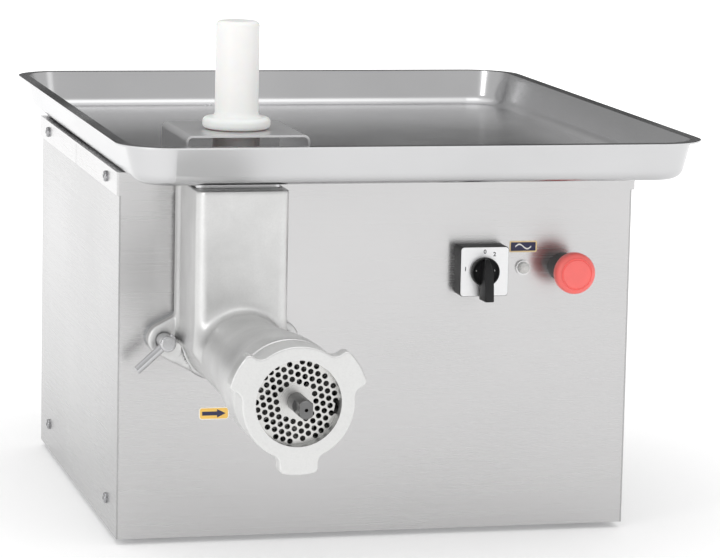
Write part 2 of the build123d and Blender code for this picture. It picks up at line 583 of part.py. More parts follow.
def make_head():
    """One casting: eared flange, flared barrel with a threaded nose, and the neck with its mouth."""
    flange = slab_y(eared_outline(FLANGE_R, EAR_R), FLANGE_FRONT, FLANGE_BACK, AXIS_X, AXIS_Z)
    flange = chamfer(flange.edges().group_by(Axis.Y)[0], 1.2)
    barrel = barrel_solid() + rod_y(NOSE_R, NOSE_BACK + 2, BARREL_END, AXIS_X, AXIS_Z)
    neck = pillar(NECK_W, NECK_D, NECK_CORNER, AXIS_Z, NECK_TOP, AXIS_X, NECK_Y)
    body = barrel + neck
    body += flange
    pad_y = FLANGE_BACK - PAD_D / 2
    body += pillar(NECK_W + 2 * PAD_OUT, PAD_D, 5, AXIS_Z, NECK_TOP, AXIS_X, pad_y)
    body -= rod_y(BORE_R, BARREL_END - 1, FLANGE_BACK - 6, AXIS_X, AXIS_Z)
    body -= rod_y(CHAMBER_R, BARREL_END - 1, PLATE_BACK + CHAMBER_L, AXIS_X, AXIS_Z)
    body -= rod_y(SHAFT_R + 2, FLANGE_BACK - 7, FLANGE_BACK + 1, AXIS_X, AXIS_Z)
    body -= rod_y(PLATE_R + PLATE_GAP, BARREL_END - 1, PLATE_BACK + PLATE_GAP, AXIS_X, AXIS_Z)
    body -= pillar(FEED_W, FEED_D, NECK_CORNER - 2, AXIS_Z, NECK_TOP + 1, AXIS_X, FEED_Y)
    body -= pillar(MOUTH_W, MOUTH_D, NECK_CORNER - 2, NECK_TOP - MOUTH_STEP, NECK_TOP + 1, AXIS_X, FEED_Y)
    for side in (-1, 1):
        x, z = ear_centre(side)
        body -= rod_y(CLAMP_R + 0.4, FLANGE_FRONT - 1, FLANGE_BACK + 1, x, z)
    key_x, key_z = key_place()
    body -= rod_y(KEY_R, BARREL_END - 1, PLATE_BACK + KEY_DEEP, key_x, key_z)
    parts["grinder_head"] = body
    parts["plate_key"] = rod_y(KEY_R, BARREL_END, PLATE_BACK + KEY_DEEP, key_x, key_z)


def key_place():
    a = math.radians(KEY_DEG)
    return AXIS_X + PLATE_R * math.cos(a), AXIS_Z + PLATE_R * math.sin(a)


# ---- auger, knife, plate, ring nut ----

def make_auger():
    front, back = KNIFE_BACK + 1, AUGER_BACK
    length = back - front
    turns = length / FLIGHT_PITCH
    outer = BORE_R - AUGER_GAP
    half = math.radians(FLIGHT_DEG / 2)
    tip = math.radians(FLIGHT_DEG / 5)
    inner = CORE_R - 3
    flight = make_face(Polyline(
        (inner * math.cos(half), -inner * math.sin(half)), (outer * math.cos(tip), -outer * math.sin(tip)),
        (outer, 0), (outer * math.cos(tip), outer * math.sin(tip)),
        (inner * math.cos(half), inner * math.sin(half)), close=True))
    core = Circle(CORE_R)
    section = core + flight
    plane = Plane(origin=(AXIS_X, back, AXIS_Z), x_dir=(1, 0, 0), z_dir=(0, -1, 0))
    worm = Solid.extrude_linear_with_rotation(
        (plane * section).face(), center=plane.origin, normal=Vector(0, -1, 0) * length, angle=turns * 360)
    tang = slab_y(Rectangle(24, 24), back, back + 34, AXIS_X, AXIS_Z)
    square = slab_y(Rectangle(KNIFE_SQUARE, KNIFE_SQUARE), PLATE_BACK + 0.2, front, AXIS_X, AXIS_Z)
    parts["auger"] = worm + tang + square
    parts["thrust_washer"] = ring_y(30, 18, AUGER_BACK + 0.2, AUGER_BACK + 2.0, AXIS_X, AXIS_Z)

    tip_y = RING_FACE - STUD_OUT
    stud = rod_y(STUD_R, tip_y, PLATE_BACK + 0.2, AXIS_X, AXIS_Z)
    stud = chamfer(stud.edges().group_by(Axis.Y)[0], 1.0)
    for side in (-1, 1):
        cut = block(AXIS_X + STUD_FLAT, AXIS_X + STUD_R + 2, tip_y - 1, tip_y + 20, AXIS_Z - 20, AXIS_Z + 20)
        stud -= Pos(AXIS_X, 0, AXIS_Z) * Rot(0, 90 + side * 90, 0) * Pos(-AXIS_X, 0, -AXIS_Z) * cut
    stud -= cone_y(0.01, 1.6, tip_y + 4, tip_y - 0.01, AXIS_X, AXIS_Z)
    parts["auger_stud"] = stud

    hub = Circle(14)
    knife = hub
    for index in range(4):
        arm = make_face(Polyline((8, -8), (36.5, -5), (37.2, 3), (14, 9), close=True))
        knife += Rot(0, 0, index * 90 + 20) * arm
    knife = knife - Rectangle(KNIFE_SQUARE + 0.2, KNIFE_SQUARE + 0.2)
    parts["knife"] = slab_y(knife, PLATE_BACK + 0.3, KNIFE_BACK, AXIS_X, AXIS_Z)


def plate_holes():
    """Hexagonal field of mincing holes inside the bore and clear of the hub."""
    spots = []
    rows = int(PLATE_R / (HOLE_PITCH * math.sin(math.radians(60)))) + 1
    for row in range(-rows, rows + 1):
        y = row * HOLE_PITCH * math.sin(math.radians(60))
        for column in range(-rows - 1, rows + 2):
            x = (column + (row % 2) / 2) * HOLE_PITCH
            if HOLES_FROM < math.hypot(x, y) < HOLES_TO:
                spots.append((x, y))
    return spots


def make_plate():
    shape = Circle(PLATE_R) - Circle(STUD_R + RUN)
    slot = Pos(PLATE_R - KEY_SLOT_D / 2, 0) * Rectangle(KEY_SLOT_D + 2, KEY_SLOT_W)
    shape -= Rot(0, 0, KEY_DEG) * slot
    field = Sketch() + [Pos(x, y) * Circle(HOLE_R) for x, y in plate_holes()]
    shape -= Rot(0, 0, HOLES_DEG) * field
    parts["mincing_plate"] = slab_y(shape, PLATE_FRONT, PLATE_BACK, AXIS_X, AXIS_Z)


def make_ring_nut():
    """Round nut with three gripping lobes, a lip over the plate and a bore over the barrel's nose."""
    outline = Circle(RING_R)
    for index in range(3):
        lobe = Pos((RING_R + LOBE_R) / 2 - 4, 0) * Rectangle(LOBE_R - RING_R + 16, 2 * LOBE_HALF)
        outline += Rot(0, 0, LOBE_DEG + index * 120) * lobe
    outline = outline & Circle(LOBE_R)
    tips = outline.vertices().filter_by(lambda v: math.hypot(v.X, v.Y) > LOBE_R - 2)
    outline = fillet(tips, 5.0)
    roots = outline.vertices().filter_by(lambda v: math.hypot(v.X, v.Y) < RING_R + 0.5)
    outline = fillet(roots, 9.0)
    nut = slab_y(outline, RING_FACE, RING_FACE + 16, AXIS_X, AXIS_Z)
    nut = fillet(nut.edges().group_by(Axis.Y)[0], 1.6)
    nut += rod_y(RING_R, RING_FACE + 14, RING_FACE + RING_L, AXIS_X, AXIS_Z)
    nut -= rod_y(LIP_R, RING_FACE - 1, RING_FACE + RING_L + 1, AXIS_X, AXIS_Z)
    nut -= rod_y(NOSE_R + RING_GAP, PLATE_FRONT, RING_FACE + RING_L + 1, AXIS_X, AXIS_Z)
    parts["ring_nut"] = nut


# ---- clamp screws with sliding bars ----
def make_clamps():
    for side, name in ((-1, "left"), (1, "right")):
        x, z = ear_centre(side)
        head_back = FLANGE_FRONT - 0.3
        head_front = head_back - CLAMP_HEAD_L
        bar_y = head_front + 8
        screw = rod_y(CLAMP_HEAD_R, head_front, head_back, x, z)
        screw = fillet(screw.edges().group_by(Axis.Y)[0], 2.0)
        screw += rod_y(CLAMP_R, head_back, FRONT - 1.3, x, z)
        degrees = BAR_DEG if side < 0 else 180 - BAR_DEG
        plane = Plane(origin=(x, bar_y, z), x_dir=(0, 1, 0),
                      z_dir=(math.cos(math.radians(degrees)), 0, math.sin(math.radians(degrees))))
        screw -= plane * Cylinder(BAR_R + RUN, 60)
        parts["clamp_screw_" + name] = screw
        bar = Cylinder(BAR_R, BAR_L, align=(Align.CENTER, Align.CENTER, Align.MAX))
        bar = chamfer(bar.edges().filter_by(GeomType.CIRCLE), 0.8)
        parts["clamp_bar_" + name] = plane * Pos(0, 0, BAR_OUT) * bar


# ---- tray, guard, pusher ----
def tray_solid(inset, lift):
    """Flared pan body, drawn solid: narrow at the floor and wide at the rim."""
    rim_w = TRAY_W - 2 * TRAY_RIM - 2 * inset
    rim_d = TRAY_D - 2 * TRAY_RIM - 2 * inset
    lean = math.degrees(math.atan2(TRAY_FLARE, TRAY_H))
    top = FLOOR_Z + TRAY_H + lift
    face = Pos(TRAY_X, TRAY_Y, top) * RectangleRounded(rim_w, rim_d, TRAY_CORNER - inset)
    body = extrude(face, amount=-TRAY_H, taper=lean)
    return fillet(body.edges().group_by(Axis.Z)[0], TRAY_FLOOR_R - inset)


def make_tray():
    pan = tray_solid(0, 0)
    rim_top = FLOOR_Z + TRAY_H
    rim = pillar(TRAY_W, TRAY_D, TRAY_CORNER + TRAY_RIM, rim_top - TRAY_T, rim_top, TRAY_X, TRAY_Y)
    pan += rim
    pan -= tray_solid(TRAY_T, TRAY_T)
    collar_w, collar_d = MOUTH_W - 2 * FIT, MOUTH_D - 2 * FIT
    collar_r = NECK_CORNER - 2.5
    pan += pillar(collar_w, collar_d, collar_r, FLOOR_Z - COLLAR_L, FLOOR_Z + TRAY_T, AXIS_X, FEED_Y)
    pan -= pillar(collar_w - 2 * COLLAR_T, collar_d - 2 * COLLAR_T, collar_r - COLLAR_T,
                  FLOOR_Z - COLLAR_L - 1, FLOOR_Z + TRAY_T + 1, AXIS_X, FEED_Y)
    parts["feed_tray"] = pan

    floor = FLOOR_Z + TRAY_T
    x0, x1 = GUARD_X - GUARD_W / 2, GUARD_X + GUARD_W / 2
    y0, y1 = GUARD_Y - GUARD_D / 2, GUARD_Y + GUARD_D / 2
    bridge = block(x0, x1, y0, y1, floor, GUARD_TOP)
    bridge = fillet(bridge.edges().filter_by(Axis.Y).group_by(Axis.Z)[-1], 6.0)
    inner = block(x0 + GUARD_T, x1 - GUARD_T, y0 - 1, y1 + 1, floor - 1, GUARD_TOP - GUARD_T)
    bridge -= fillet(inner.edges().filter_by(Axis.Y).group_by(Axis.Z)[-1], 4.0)
    bridge += block(x0 - GUARD_FOOT, x0 + GUARD_T, y0, y1, floor, floor + GUARD_T)
    bridge += block(x1 - GUARD_T, x1 + GUARD_FOOT, y0, y1, floor, floor + GUARD_T)
    bridge -= Pos(GUARD_X, PUSHER_Y, GUARD_TOP) * Cylinder(STEM_R + 2.5, 20)
    rivets = []
    for sx in (-1, 1):
        for sy in (-1, 1):
            x = GUARD_X + sx * (GUARD_W / 2 + GUARD_FOOT / 2)
            y = GUARD_Y + sy * GUARD_D * 0.36
            bridge -= Pos(x, y, floor) * Cylinder(RIVET_R, 12)
            parts["feed_tray"] -= Pos(x, y, floor) * Cylinder(RIVET_R, 12)
            pin = Pos(x, y, FLOOR_Z + 0.1) * Cylinder(
                RIVET_R, TRAY_T + GUARD_T - 0.1, align=(Align.CENTER, Align.CENTER, Align.MIN))
            cap = Cylinder(RIVET_R * 1.8, 1.6, align=(Align.CENTER, Align.CENTER, Align.MIN))
            cap = fillet(cap.edges().group_by(Axis.Z)[-1], 1.2)
            rivets.append(pin + Pos(x, y, floor + GUARD_T) * cap)
    parts["feed_guard"] = bridge
    parts["guard_rivets"] = Compound(rivets)


def make_pusher():
    seat = GUARD_TOP + 0.3
    disc = Cylinder(DISC_R, DISC_T, align=(Align.CENTER, Align.CENTER, Align.MIN))
    disc = fillet(disc.edges().filter_by(GeomType.CIRCLE), 4.5)
    handle = Cylinder(HANDLE_R, HANDLE_H, align=(Align.CENTER, Align.CENTER, Align.MIN))
    handle = fillet(handle.edges().group_by(Axis.Z)[-1], 4.0)
    stem = Cylinder(STEM_R, STEM_L + 4, align=(Align.CENTER, Align.CENTER, Align.MAX))
    stem = fillet(stem.edges().group_by(Axis.Z)[0], 3.0)
    body = disc + Pos(0, 0, DISC_T - 0.5) * handle + Pos(0, 0, 4) * stem
    parts["pusher"] = Pos(GUARD_X, PUSHER_Y, seat) * body


# ---- controls ----
def make_switch():
    housing = slab_y(RectangleRounded(SWITCH_A, SWITCH_A, 3), FRONT - SWITCH_OUT, FRONT, SWITCH_X, CONTROL_Z)
    housing -= rod_y(5.3, FRONT - SWITCH_OUT - 1, FRONT - SWITCH_OUT + 12, SWITCH_X, CONTROL_Z)
    parts["switch_housing"] = housing
    face_y = FRONT - SWITCH_OUT - SWITCH_FACE_T
    face = slab_y(RectangleRounded(SWITCH_A - 1, SWITCH_A - 1, 3), face_y, FRONT - SWITCH_OUT,
                  SWITCH_X, CONTROL_Z)
    parts["switch_face"] = face - rod_y(5.3, face_y - 1, FRONT - SWITCH_OUT + 1, SWITCH_X, CONTROL_Z)
    body = block(SWITCH_X - 19, SWITCH_X + 19, FRONT + 0.5, FRONT + 55, CONTROL_Z - 19, CONTROL_Z + 19)
    parts["switch_contacts"] = fillet(body.edges().filter_by(Axis.Y), 3)

    knob_back = face_y - 0.3
    knob = rod_y(KNOB_R, knob_back - KNOB_T, knob_back, SWITCH_X, CONTROL_Z)
    half = LEVER_W / 2
    lever = make_face(Polyline((-2.5, LEVER_UP), (2.5, LEVER_UP), (half, 3), (half, -LEVER_DOWN),
                               (-half, -LEVER_DOWN), (-half, 3), close=True))
    grip = slab_y(lever, knob_back - KNOB_T - LEVER_H, knob_back - KNOB_T + 1, SWITCH_X, CONTROL_Z)
    knob += grip
    knob += rod_y(5, knob_back - 1, FRONT - SWITCH_OUT + 10, SWITCH_X, CONTROL_Z)
    parts["switch_knob"] = knob


def make_lamp():
    bezel = rod_y(LAMP_R, FRONT - 3, FRONT, LAMP_X, CONTROL_Z)
    bezel += rod_y(LAMP_R - 2.1, FRONT, FRONT + 14, LAMP_X, CONTROL_Z)
    bezel -= rod_y(LAMP_R - 3.2, FRONT - 4, FRONT + 15, LAMP_X, CONTROL_Z)
    parts["lamp_bezel"] = bezel
    lens = rod_y(LAMP_R - 3.2, FRONT - 3, FRONT + 8, LAMP_X, CONTROL_Z)
    cap = rod_y(LAMP_R - 1.4, FRONT - 7, FRONT - 3, LAMP_X, CONTROL_Z)
    cap = fillet(cap.edges().group_by(Axis.Y)[0], 2.0)
    parts["lamp_lens"] = lens + cap


def make_estop():
    collar_y = FRONT - ESTOP_NECK
    collar = rod_y(COLLAR_R, collar_y, FRONT, ESTOP_X, CONTROL_Z)
    collar = fillet(collar.edges().group_by(Axis.Y)[0], 1.5)
    collar += rod_y(COLLAR_R - 3.1, FRONT, FRONT + 12, ESTOP_X, CONTROL_Z)
    stem_r = 7.0
    collar -= rod_y(stem_r + RUN, collar_y - 1, FRONT + 13, ESTOP_X, CONTROL_Z)
    parts["estop_collar"] = collar
    block_y = FRONT + 12.5
    contacts = block(ESTOP_X - 15, ESTOP_X + 15, block_y, block_y + 42, CONTROL_Z - 20, CONTROL_Z + 20)
    contacts -= rod_y(stem_r + 1, block_y - 1, block_y + ESTOP_TRAVEL + 4, ESTOP_X, CONTROL_Z)
    parts["estop_contacts"] = contacts
    head_back = FRONT - ESTOP_OUT + 15
    parts["estop_stem"] = rod_y(stem_r, head_back - 4, FRONT + 14, ESTOP_X, CONTROL_Z)
    head = rod_y(ESTOP_R, FRONT - ESTOP_OUT, head_back, ESTOP_X, CONTROL_Z)
    head = fillet(head.edges().group_by(Axis.Y)[0], 5.0)
    head = fillet(head.edges().group_by(Axis.Y)[-1], 3.0)
    head -= rod_y(stem_r + RUN, head_back - 4.3, head_back + 1, ESTOP_X, CONTROL_Z)
    parts["estop_button"] = head


def make_stickers():
    """Thin stickers on the front: power symbol above the lamp, direction of turning beside the head."""
    power_z = CONTROL_Z + LABEL_RISE
    power = block(LAMP_X - LABEL_W / 2, LAMP_X + LABEL_W / 2, FRONT - TRIM_T, FRONT,
                  power_z - LABEL_H / 2, power_z + LABEL_H / 2)
    turn_x, turn_z = AXIS_X - 4.0, AXIS_Z - STICKER_DROP
    turn = block(turn_x - STICKER_W / 2, turn_x + STICKER_W / 2, FRONT - TRIM_T, FRONT,
                 turn_z - STICKER_H / 2, turn_z + STICKER_H / 2)
    parts["panel_stickers"] = Compound([power, turn])


make_cabinet()
make_gland()
make_gearbox()
make_motor()
make_electrics()
make_hub()
make_head()
make_auger()
make_plate()
make_ring_nut()
make_clamps()
make_tray()
make_pusher()
make_switch()
make_lamp()
make_estop()
make_stickers()

os.makedirs("parts", exist_ok=True)
for name, shape in parts.items():
    export_step(shape, f"parts/{name}.step")
    print(name, round(shape.volume / 1000, 2), "cm3")
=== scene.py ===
import bpy
import bmesh
import json
import math
import numpy as np
from mathutils import Matrix, Vector


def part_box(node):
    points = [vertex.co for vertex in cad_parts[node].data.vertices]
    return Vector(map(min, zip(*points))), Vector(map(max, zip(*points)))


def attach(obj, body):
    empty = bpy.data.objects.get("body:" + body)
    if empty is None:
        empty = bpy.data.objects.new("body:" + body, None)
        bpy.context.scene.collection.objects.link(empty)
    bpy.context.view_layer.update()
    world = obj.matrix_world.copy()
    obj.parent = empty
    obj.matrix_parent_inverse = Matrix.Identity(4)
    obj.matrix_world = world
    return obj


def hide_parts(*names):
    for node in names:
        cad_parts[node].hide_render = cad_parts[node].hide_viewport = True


# Looks of the electric meat grinder, in metres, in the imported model's own frame.
# +Z is up, the grinding head points along -Y, and the origin is under the cabinet on the standing surface.

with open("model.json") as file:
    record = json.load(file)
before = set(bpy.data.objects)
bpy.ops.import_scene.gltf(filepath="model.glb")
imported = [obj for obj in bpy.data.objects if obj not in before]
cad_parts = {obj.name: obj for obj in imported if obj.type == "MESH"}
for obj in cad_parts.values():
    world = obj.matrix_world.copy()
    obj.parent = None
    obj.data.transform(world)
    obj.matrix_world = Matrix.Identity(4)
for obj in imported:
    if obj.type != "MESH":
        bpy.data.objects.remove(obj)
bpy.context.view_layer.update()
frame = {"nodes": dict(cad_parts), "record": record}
MM = 0.001


# ---- small helpers ----
def middle(node):
    low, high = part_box(node)
    return (low + high) / 2


def shown(name, mesh, body, material, smooth=True):
    """Puts a new mesh in the scene as a piece that rides on a CAD body."""
    piece = bpy.data.objects.new(name, mesh)
    bpy.context.scene.collection.objects.link(piece)
    mesh.materials.append(material)
    if smooth:
        mesh.polygons.foreach_set("use_smooth", [True] * len(mesh.polygons))
    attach(piece, body)
    return piece


def auto_smooth(piece, degrees=35):
    """Keeps edges sharper than the angle crisp on a smooth-shaded piece."""
    limit = math.radians(degrees)
    build = bmesh.new()
    build.from_mesh(piece.data)
    for edge in build.edges:
        edge.smooth = len(edge.link_faces) == 2 and edge.calc_face_angle(0) < limit
    build.to_mesh(piece.data)
    build.free()


def bevel(piece, width, segments=3, degrees=30):
    modifier = piece.modifiers.new("edge_round", "BEVEL")
    modifier.width = width
    modifier.segments = segments
    modifier.limit_method = "ANGLE"
    modifier.angle_limit = math.radians(degrees)
    modifier.harden_normals = False


def lathe(name, profile, axis_point, direction, steps=96):
    """Closed mesh turned about an axis. The profile lists (radius, height) along the direction, end to end."""
    build = bmesh.new()
    rings = []
    for radius, height in profile:
        if radius < 1e-7:
            rings.append([build.verts.new((0, 0, height))])
        else:
            rings.append([build.verts.new((radius * math.cos(2 * math.pi * i / steps),
                                           radius * math.sin(2 * math.pi * i / steps), height))
                          for i in range(steps)])
    for lower, upper in zip(rings, rings[1:]):
        for i in range(steps):
            j = (i + 1) % steps
            corners = [lower[i % len(lower)], lower[j % len(lower)],
                       upper[j % len(upper)], upper[i % len(upper)]]
            unique = list(dict.fromkeys(corners))
            if len(unique) > 2:
                build.faces.new(unique)
    bmesh.ops.recalc_face_normals(build, faces=build.faces)
    turn = Vector((0, 0, 1)).rotation_difference(Vector(direction)).to_matrix().to_4x4()
    build.transform(Matrix.Translation(axis_point) @ turn)
    mesh = bpy.data.meshes.new(name)
    build.to_mesh(mesh)
    build.free()
    return mesh


def arc(centre_r, centre_h, radius, start, end, steps=6):
    """Profile points on a circular arc, angles in degrees from the radial direction."""
    points = []
    for i in range(steps + 1):
        a = math.radians(start + (end - start) * i / steps)
        points.append((centre_r + radius * math.cos(a), centre_h + radius * math.sin(a)))
    return points


def plate_mesh(name, outline, front_y, back_y):
    """Flat plate with a closed outline in X and Z, between two Y planes."""
    build = bmesh.new()
    front = [build.verts.new((x, front_y, z)) for x, z in outline]
    back = [build.verts.new((x, back_y, z)) for x, z in outline]
    build.faces.new(front)
    build.faces.new(list(reversed(back)))
    for i in range(len(outline)):
        j = (i + 1) % len(outline)
        build.faces.new([front[j], front[i], back[i], back[j]])
    bmesh.ops.recalc_face_normals(build, faces=build.faces)
    mesh = bpy.data.meshes.new(name)
    build.to_mesh(mesh)
    build.free()
    return mesh


def rounded_rectangle(x, z, width, height, corner, steps=5):
    points = []
    for quarter, (sx, sz) in enumerate(((1, 1), (-1, 1), (-1, -1), (1, -1))):
        for i in range(steps + 1):
            a = math.radians(90 * quarter + 90 * i / steps)
            points.append((x + sx * (width / 2 - corner) + corner * math.cos(a),
                           z + sz * (height / 2 - corner) + corner * math.sin(a)))
    return points


# ---- materials ----
class Look:
    """A Principled material with short calls for the procedural nodes that feed it."""

    def __init__(self, name, color, metallic=0.0, roughness=0.5, **sockets):
        self.material = bpy.data.materials.new(name)
        self.material.use_nodes = True
        self.tree = self.material.node_tree
        self.shader = self.tree.nodes["Principled BSDF"]
        self.shader.inputs["Base Color"].default_value = (*color, 1)
        self.shader.inputs["Metallic"].default_value = metallic
        self.shader.inputs["Roughness"].default_value = roughness
        for socket, value in sockets.items():
            self.shader.inputs[socket.replace("_", " ")].default_value = value
        self.place = self.tree.nodes.new("ShaderNodeTexCoord").outputs["Object"]

    def node(self, kind, **settings):
        made = self.tree.nodes.new(kind)
        for key, value in settings.items():
            setattr(made, key, value)
        return made

    def link(self, source, target):
        self.tree.links.new(source, target)

    def stretched(self, stretch, turn=(0, 0, 0), place=None):
        mapping = self.node("ShaderNodeMapping")
        mapping.inputs["Scale"].default_value = stretch
        mapping.inputs["Rotation"].default_value = turn
        self.link(place or self.place, mapping.inputs["Vector"])
        return mapping.outputs["Vector"]

    def noise(self, stretch, detail=3.0, rough=0.55, distort=0.0, turn=(0, 0, 0)):
        """Noise from 0 to 1; stretch is its frequency per metre along X, Y and Z."""
        made = self.node("ShaderNodeTexNoise")
        made.inputs["Scale"].default_value = 1.0
        made.inputs["Detail"].default_value = detail
        made.inputs["Roughness"].default_value = rough
        made.inputs["Distortion"].default_value = distort
        self.link(self.stretched(stretch, turn), made.inputs["Vector"])
        return made.outputs["Fac"]

    def spread(self, value, low, high, start=0.3, end=0.7):
        """Maps a 0 to 1 value from start..end to low..high."""
        made = self.node("ShaderNodeMapRange", clamp=True)
        made.inputs["From Min"].default_value = start
        made.inputs["From Max"].default_value = end
        made.inputs["To Min"].default_value = low
        made.inputs["To Max"].default_value = high
        self.link(value, made.inputs["Value"])
        return made.outputs["Result"]

    def math(self, operation, a, b=0.5):
        made = self.node("ShaderNodeMath", operation=operation)
        for socket, value in zip(made.inputs, (a, b)):
            if isinstance(value, (int, float)):
                socket.default_value = value
            else:
                self.link(value, socket)
        return made.outputs["Value"]

    def blend(self, factor, first, second):
        made = self.node("ShaderNodeMix", data_type="RGBA")
        for socket, value in ((made.inputs[6], first), (made.inputs[7], second)):
            if isinstance(value, tuple):
                socket.default_value = (*value, 1)
            else:
                self.link(value, socket)
        self.link(factor, made.inputs[0])
        return made.outputs[2]

    def color(self, source):
        self.link(source, self.shader.inputs["Base Color"])
        return self

    def roughness(self, source):
        self.link(source, self.shader.inputs["Roughness"])
        return self

    def bump(self, height, strength, distance):
        """Adds a bump on top of any bump made before."""
        made = self.node("ShaderNodeBump")
        made.inputs["Strength"].default_value = strength
        made.inputs["Distance"].default_value = distance
        self.link(height, made.inputs["Height"])
        normal = self.shader.inputs["Normal"]
        if normal.is_linked:
            self.link(normal.links[0].from_socket, made.inputs["Normal"])
        self.link(made.outputs["Normal"], normal)
        return self

    def radial_tangent(self, axis):
        tangent = self.node("ShaderNodeTangent", direction_type="RADIAL", axis=axis)
        self.link(tangent.outputs["Tangent"], self.shader.inputs["Tangent"])
        return self


def brushed(name, base, rough=0.3, along="X", grain=1.0):
    """Rolled stainless sheet with a fine straight grain, mostly level with the floor."""
    look = Look(name, base, 1.0, rough, Anisotropic=0.7, Anisotropic_Rotation=0.25)
    fine = {"X": (5, 5, 1500), "Z": (1500, 1500, 5), "Y": (1500, 5, 1500)}[along]
    wide = tuple(v / 5 if v > 100 else v / 2 for v in fine)
    hair = look.noise(fine, 4, 0.7)
    band = look.noise(wide, 2, 0.5)
    cloud = look.noise((3.1, 3.7, 4.3), 3, 0.5)
    mixed = look.math("ADD", look.math("MULTIPLY", hair, 0.8), look.math("MULTIPLY", band, 0.2))
    dark = tuple(c * (1 - 0.045 * grain) for c in base)
    light = tuple(min(1, c * (1 + 0.03 * grain)) for c in base)
    look.color(look.blend(look.spread(mixed, 0, 1, 0.35, 0.65), dark, light))
    scatter = look.math("ADD", look.spread(mixed, rough - 0.03, rough + 0.035, 0.35, 0.65),
                        look.spread(cloud, -0.025, 0.03))
    look.roughness(scatter)
    look.bump(hair, 0.07 * grain, 0.0002)
    look.radial_tangent("Z" if along != "Z" else "X")
    return look.material


def pressed(name, base, rough=0.27):
    """Smooth pressed stainless, with soft unevenness left by the press."""
    look = Look(name, base, 1.0, rough)
    haze = look.noise((6, 5, 8), 3, 0.5)
    speck = look.noise((420, 420, 420), 3, 0.6)
    dark = tuple(c * 0.95 for c in base)
    light = tuple(min(1, c * 1.04) for c in base)
    look.color(look.blend(look.spread(haze, 0, 1), dark, light))
    look.roughness(look.math("ADD", look.spread(haze, rough - 0.03, rough + 0.05),
                             look.spread(speck, -0.015, 0.015)))
    look.bump(look.noise((14, 11, 16), 2, 0.4), 0.05, 0.002)
    look.bump(speck, 0.03, 0.0002)
    return look.material


def polished(name, base, rough=0.09):
    """Bright metal with faint wipe marks."""
    look = Look(name, base, 1.0, rough)
    smear = look.noise((60, 25, 60), 4, 0.6, 0.6)
    look.roughness(look.spread(smear, rough * 0.7, rough * 1.7))
    look.color(look.blend(look.spread(smear, 0, 1), tuple(c * 0.94 for c in base), base))
    look.bump(look.noise((30, 30, 30), 2, 0.4), 0.06, 0.001)
    return look.material


def cast(name, base, rough=0.36, mottle=0.10, grit=0.16):
    """Tumbled casting: cloudy tone, fine grit, a few shallow pits."""
    look = Look(name, base, 1.0, rough)
    cloud = look.noise((26, 26, 20), 5, 0.6, 0.4)
    grain = look.noise((620, 620, 620), 4, 0.65)
    pits = look.node("ShaderNodeTexVoronoi", feature="F1")
    pits.inputs["Scale"].default_value = 160
    look.link(look.place, pits.inputs["Vector"])
    pit = look.spread(pits.outputs["Distance"], 0, 1, 0.0, 0.16)
    tone = look.blend(look.spread(cloud, 0, 1, 0.32, 0.68), tuple(c * (1 - mottle) for c in base),
                      tuple(min(1, c * (1 + mottle * 0.6)) for c in base))
    look.color(look.blend(look.spread(grain, 0.0, 0.25, 0.45, 0.8), tone, tuple(c * 0.8 for c in base)))
    look.roughness(look.math("ADD", look.spread(cloud, rough - 0.05, rough + 0.08),
                             look.spread(grain, -0.03, 0.04)))
    look.bump(cloud, 0.12, 0.0012)
    look.bump(grain, grit, 0.00035)
    look.bump(pit, 0.10, 0.0003)
    return look.material


def turned(name, base, centre, axis="Y", rough=0.26, rings=1400):
    """Machined metal with fine tool marks around an axis."""
    look = Look(name, base, 1.0, rough, Anisotropic=0.5)
    shift = look.node("ShaderNodeVectorMath", operation="SUBTRACT")
    shift.inputs[1].default_value = centre
    look.link(look.place, shift.inputs[0])
    flat = look.node("ShaderNodeVectorMath", operation="MULTIPLY")
    flat.inputs[1].default_value = tuple(0 if letter == axis else 1 for letter in "XYZ")
    look.link(shift.outputs["Vector"], flat.inputs[0])
    reach = look.node("ShaderNodeVectorMath", operation="LENGTH")
    look.link(flat.outputs["Vector"], reach.inputs[0])
    line = look.node("ShaderNodeTexNoise", noise_dimensions="1D")
    line.inputs["Scale"].default_value = rings
    line.inputs["Detail"].default_value = 2
    look.link(reach.outputs["Value"], line.inputs["W"])
    cloud = look.noise((40, 40, 40), 3, 0.5)
    mark = line.outputs["Fac"]
    look.color(look.blend(look.spread(mark, 0, 1), tuple(c * 0.88 for c in base), base))
    look.roughness(look.math("ADD", look.spread(mark, rough - 0.05, rough + 0.06),
                             look.spread(cloud, -0.03, 0.03)))
    look.bump(mark, 0.08, 0.0002)
    look.radial_tangent(axis)
    return look.material


def moulded(name, base, rough=0.4, grain=0.12, spread=0.06, **sockets):
    """Moulded plastic or rubber with a fine texture and a slightly uneven gloss."""
    look = Look(name, base, 0.0, rough, **sockets)
    fine = look.noise((900, 900, 900), 3, 0.6)
    cloud = look.noise((45, 45, 45), 3, 0.5)
    light = tuple(min(1, c * (1 + spread) + 0.004) for c in base)
    look.color(look.blend(look.spread(cloud, 0, 1), tuple(c * (1 - spread) for c in base), light))
    look.roughness(look.math("ADD", look.spread(cloud, rough - 0.05, rough + 0.06),
                             look.spread(fine, -0.02, 0.02)))
    look.bump(fine, grain, 0.0002)
    return look.material


def enamel(name, base):
    """Hammered enamel on a motor."""
    look = Look(name, base, 0.15, 0.42, Coat_Weight=0.35, Coat_Roughness=0.2)
    cells = look.node("ShaderNodeTexVoronoi", feature="SMOOTH_F1")
    cells.inputs["Scale"].default_value = 330
    look.link(look.place, cells.inputs["Vector"])
    light = tuple(c * 1.35 for c in base)
    look.color(look.blend(look.spread(cells.outputs["Distance"], 0, 1, 0.1, 0.7), base, light))
    look.bump(cells.outputs["Distance"], 0.25, 0.0005)
    return look.material


